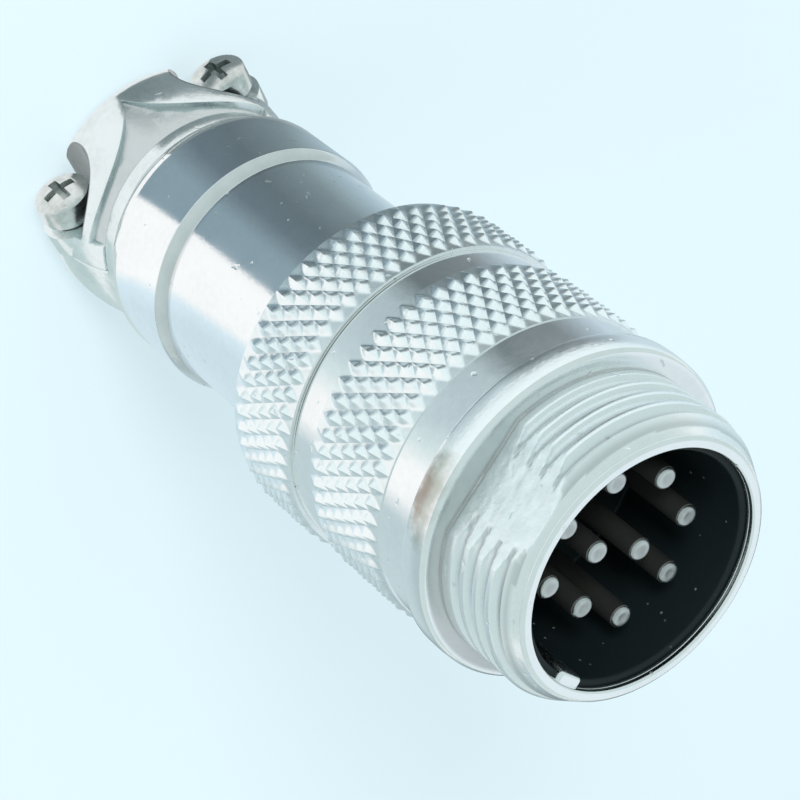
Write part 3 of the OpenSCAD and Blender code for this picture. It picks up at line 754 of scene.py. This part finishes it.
def card_surface(name, stops):
    """Card tones round the plug's axis, each at an angle in degrees; seen from above only."""
    material, tree = blank_material(name)
    gradient = tree.nodes.new("ShaderNodeTexGradient")
    gradient.gradient_type = "RADIAL"
    tree.links.new(object_place(tree), gradient.inputs["Vector"])
    tone = tree.nodes.new("ShaderNodeValToRGB")
    for index, (angle, colour) in enumerate(stops):
        at = angle / 360 + 0.5
        element = tone.color_ramp.elements[index] if index < 2 else tone.color_ramp.elements.new(at)
        element.position = at
        element.color = (*colour, 1)
    tree.links.new(gradient.outputs["Fac"], tone.inputs["Fac"])
    under = tree.nodes.new("ShaderNodeNewGeometry").outputs["Backfacing"]
    clear = tree.nodes.new("ShaderNodeBsdfTransparent").outputs["BSDF"]
    surface_of(tree, blend(tree, under, glow(tree, tone.outputs["Color"]), clear))
    return material


def card(name, stops, near, far, height, sectors=((0, 360),)):
    """Flat ring sectors that only the metal reflects, each as a start angle and a sweep in degrees."""
    bm = bmesh.new()
    for start, sweep in sectors:
        ends = [bm.verts.new((near * MM, 0, height * MM)), bm.verts.new((far * MM, 0, height * MM))]
        turn = Matrix.Rotation(math.radians(start), 3, "Z")
        bmesh.ops.rotate(bm, cent=CENTRE, matrix=turn, verts=ends)
        bmesh.ops.spin(bm, geom=ends + [bm.edges.new(ends)], cent=CENTRE, axis=AXIS,
                       angle=-math.radians(sweep), steps=CARD_STEPS)
    bm.normal_update()
    bmesh.ops.reverse_faces(bm, faces=[f for f in bm.faces if f.normal.z < 0])
    only_reflected(show(name, bm, card_surface(f"{name}_tones", stops)))


def cards():
    """Rings of cards round the plug, which give the metal its dark and white zones."""
    pale = (0.64, 0.79, 0.86)
    card("near_card", (
        (-180, pale), (-118, pale), (-96, (0.20, 0.27, 0.30)), (-66, (0.13, 0.18, 0.20)), (-46, pale),
        (-30, pale), (0, (0.40, 0.53, 0.60)), (30, (0.21, 0.28, 0.30)), (60, (0.125, 0.17, 0.19)),
        (80, (0.14, 0.19, 0.225)), (97, (0.25, 0.35, 0.40)), (118, (0.25, 0.35, 0.41)), (121, WHITE),
        (160, WHITE), (168, (0.70, 0.86, 0.94)), (180, pale),
    ), NEAR_CARD_R, FAR_CARD_R, CARD_Z)
    pale = (0.54, 0.67, 0.70)
    card("far_card", (
        (-180, pale), (-118, pale), (-96, (0.22, 0.28, 0.30)), (-66, (0.16, 0.20, 0.21)),
        (-44, (0.60, 0.74, 0.78)), (-15, (0.55, 0.68, 0.76)), (20, (0.21, 0.25, 0.265)),
        (57, (0.155, 0.195, 0.205)), (76, (0.43, 0.53, 0.56)), (115, (0.52, 0.64, 0.67)),
        (131, (0.70, 0.83, 0.84)), (146, WHITE), (164, WHITE), (178, pale),
    ), FAR_CARD_R, OUTER_CARD_R, CARD_Z)
    pale, bright = (0.45, 0.56, 0.58), (0.86, 0.98, 1.0)
    card("outer_card", (
        (-180, pale), (-118, pale), (-96, (0.22, 0.28, 0.30)), (-66, (0.16, 0.20, 0.21)),
        (-44, (0.60, 0.74, 0.78)), (-15, (0.70, 0.85, 0.90)), (20, bright), (115, bright),
        (146, WHITE), (162, WHITE), (176, (0.47, 0.58, 0.60)), (180, pale),
    ), OUTER_CARD_R, CARD_END_R, CARD_Z)
    pale = (0.58, 0.70, 0.70)
    card("low_card", (
        (-180, pale), (-60, pale), (-30, (0.48, 0.58, 0.62)), (20, (0.26, 0.31, 0.32)),
        (89, (0.22, 0.27, 0.28)), (165, pale),
    ), LOW_CARD_R, LOW_CARD_END_R, LOW_CARD_Z, ((89, 119), (300, 135)))


def sky_card():
    """A pale round card behind the plug, which the faces that point up reflect."""
    material, tree = blank_material("sky_tone")
    surface_of(tree, glow(tree, (0.76, 0.86, 0.9, 1)))
    bm = bmesh.new()
    bmesh.ops.create_circle(bm, cap_ends=True, segments=48, radius=0.25)
    bmesh.ops.translate(bm, vec=(0, 0, -0.4), verts=bm.verts)
    tilt = Matrix.Rotation(math.radians(-73), 3, "Z") @ Matrix.Rotation(math.radians(-90 - 43), 3, "Y")
    bmesh.ops.rotate(bm, cent=CENTRE, matrix=tilt, verts=bm.verts)
    only_reflected(show("sky_card", bm, material))


def lamp(name, place_at, size, power):
    """A round lamp that points at the plug and that the metal does not reflect."""
    light = bpy.data.lights.new(name, "AREA")
    light.shape = "DISK"
    light.size = size
    light.energy = power
    thing = bpy.data.objects.new(name, light)
    thing.location = place_at
    thing.visible_glossy = False
    thing.rotation_euler = (Vector(LAMP_AIM) - Vector(place_at)).to_track_quat("-Z", "Y").to_euler()
    bpy.context.scene.collection.objects.link(thing)


def studio():
    """Floor, cards, lamps and the soft light of the room."""
    floor()
    cards()
    sky_card()
    world = bpy.data.worlds.new("soft_room")
    bpy.context.scene.world = world
    world.use_nodes = True
    background = world.node_tree.nodes["Background"]
    background.inputs["Color"].default_value = (0.80, 0.95, 0.95, 1)
    background.inputs["Strength"].default_value = 0.75
    lamp("left_softbox", (-0.68, 0.20, 0.44), 0.80, 3.5)
    lamp("high_softbox", (0.12, 0.44, 0.84), 0.60, 2.45)
    lamp("front_softbox", (0.0, 0.64, 0.46), 0.24, 5.0)
    bpy.context.scene.view_settings.view_transform = "Standard"


def camera():
    """The photo's view, worked out from the plug's circles in it."""
    data = bpy.data.cameras.new("photo_view")
    data.lens = PHOTO_LENS
    data.sensor_width = PHOTO_SENSOR
    data.clip_start = 0.01
    view = bpy.data.objects.new("photo_view", data)
    view.location = Vector(PHOTO_PLACE) * MM
    view.rotation_euler = Euler([math.radians(a) for a in PHOTO_TILT], "XYZ")
    bpy.context.scene.collection.objects.link(view)
    bpy.context.scene.camera = view


skin = plated_skin_group()
bright = metal("bright_nickel", skin, (0.97, 0.975, 0.98), (0.9, 0.91, 0.915),
               roughness=0.1, peel=0.3, turning=0.08, nicks=1.0, shade_hides_metal=True,
               marks=((patch_mask(130, 38.75, (3.2, 1.5, 1.1)), (0.45, 0.47, 0.41)),
                      (patch_mask(131, 38.35, (2.1, 1.2, 0.66)), (0.33, 0.28, 0.24))))
# The cast metal's near-black mark is painted shade on the pocket walls
cast = metal("cast_nickel", skin, (0.835, 0.895, 0.91), (0.715, 0.775, 0.775),
             roughness=0.2, peel=0.6, turning=0.0, nicks=0.6, marks=((pocket_shade_mask, (0.12, 0.14, 0.14)),))
screw = metal("screw_nickel", skin, (0.8, 0.83, 0.82), (0.5, 0.54, 0.52),
              roughness=0.24, peel=0.5, turning=0.1, nicks=0.5)
# The pins' near-black dark colour is painted shade for their shanks deep in the black cup
silver = metal("pin_silver", skin, (0.64, 0.66, 0.655), (0.42, 0.44, 0.43),
               roughness=0.3, peel=0.4, turning=0.3, nicks=0.4, shade_hides_metal=True, shade_and_dirt_colour=(0.0145, 0.016, 0.0145))
steel = metal("spring_steel", skin, (0.55, 0.56, 0.57), (0.45, 0.46, 0.47),
              roughness=0.3, peel=0.3, turning=0.3, nicks=0.3)
black = phenolic()

camera()
studio()
front_shell(bright)
front_ring(bright)
tail_shell(bright)
contact_insert(black)
for pin in range(PIN_COUNT):
    contact_pin(pin, silver)
cast_piece("cast_clamp_base", "clamp_base", "clamp", cast, 0.12)
cast_piece("cast_clamp_saddle", "clamp_saddle", "saddle", cast, 0.1, slope_painted_shade)
clamp_screw("left_screw_piece", "left_clamp_screw", "left_screw", screw)
clamp_screw("right_screw_piece", "right_clamp_screw", "right_screw", screw)
for hidden_node, finish in (("insert_retainer", cast), ("clamp_retaining_ring", steel)):
    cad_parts[hidden_node].data.materials.clear()
    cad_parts[hidden_node].data.materials.append(finish)
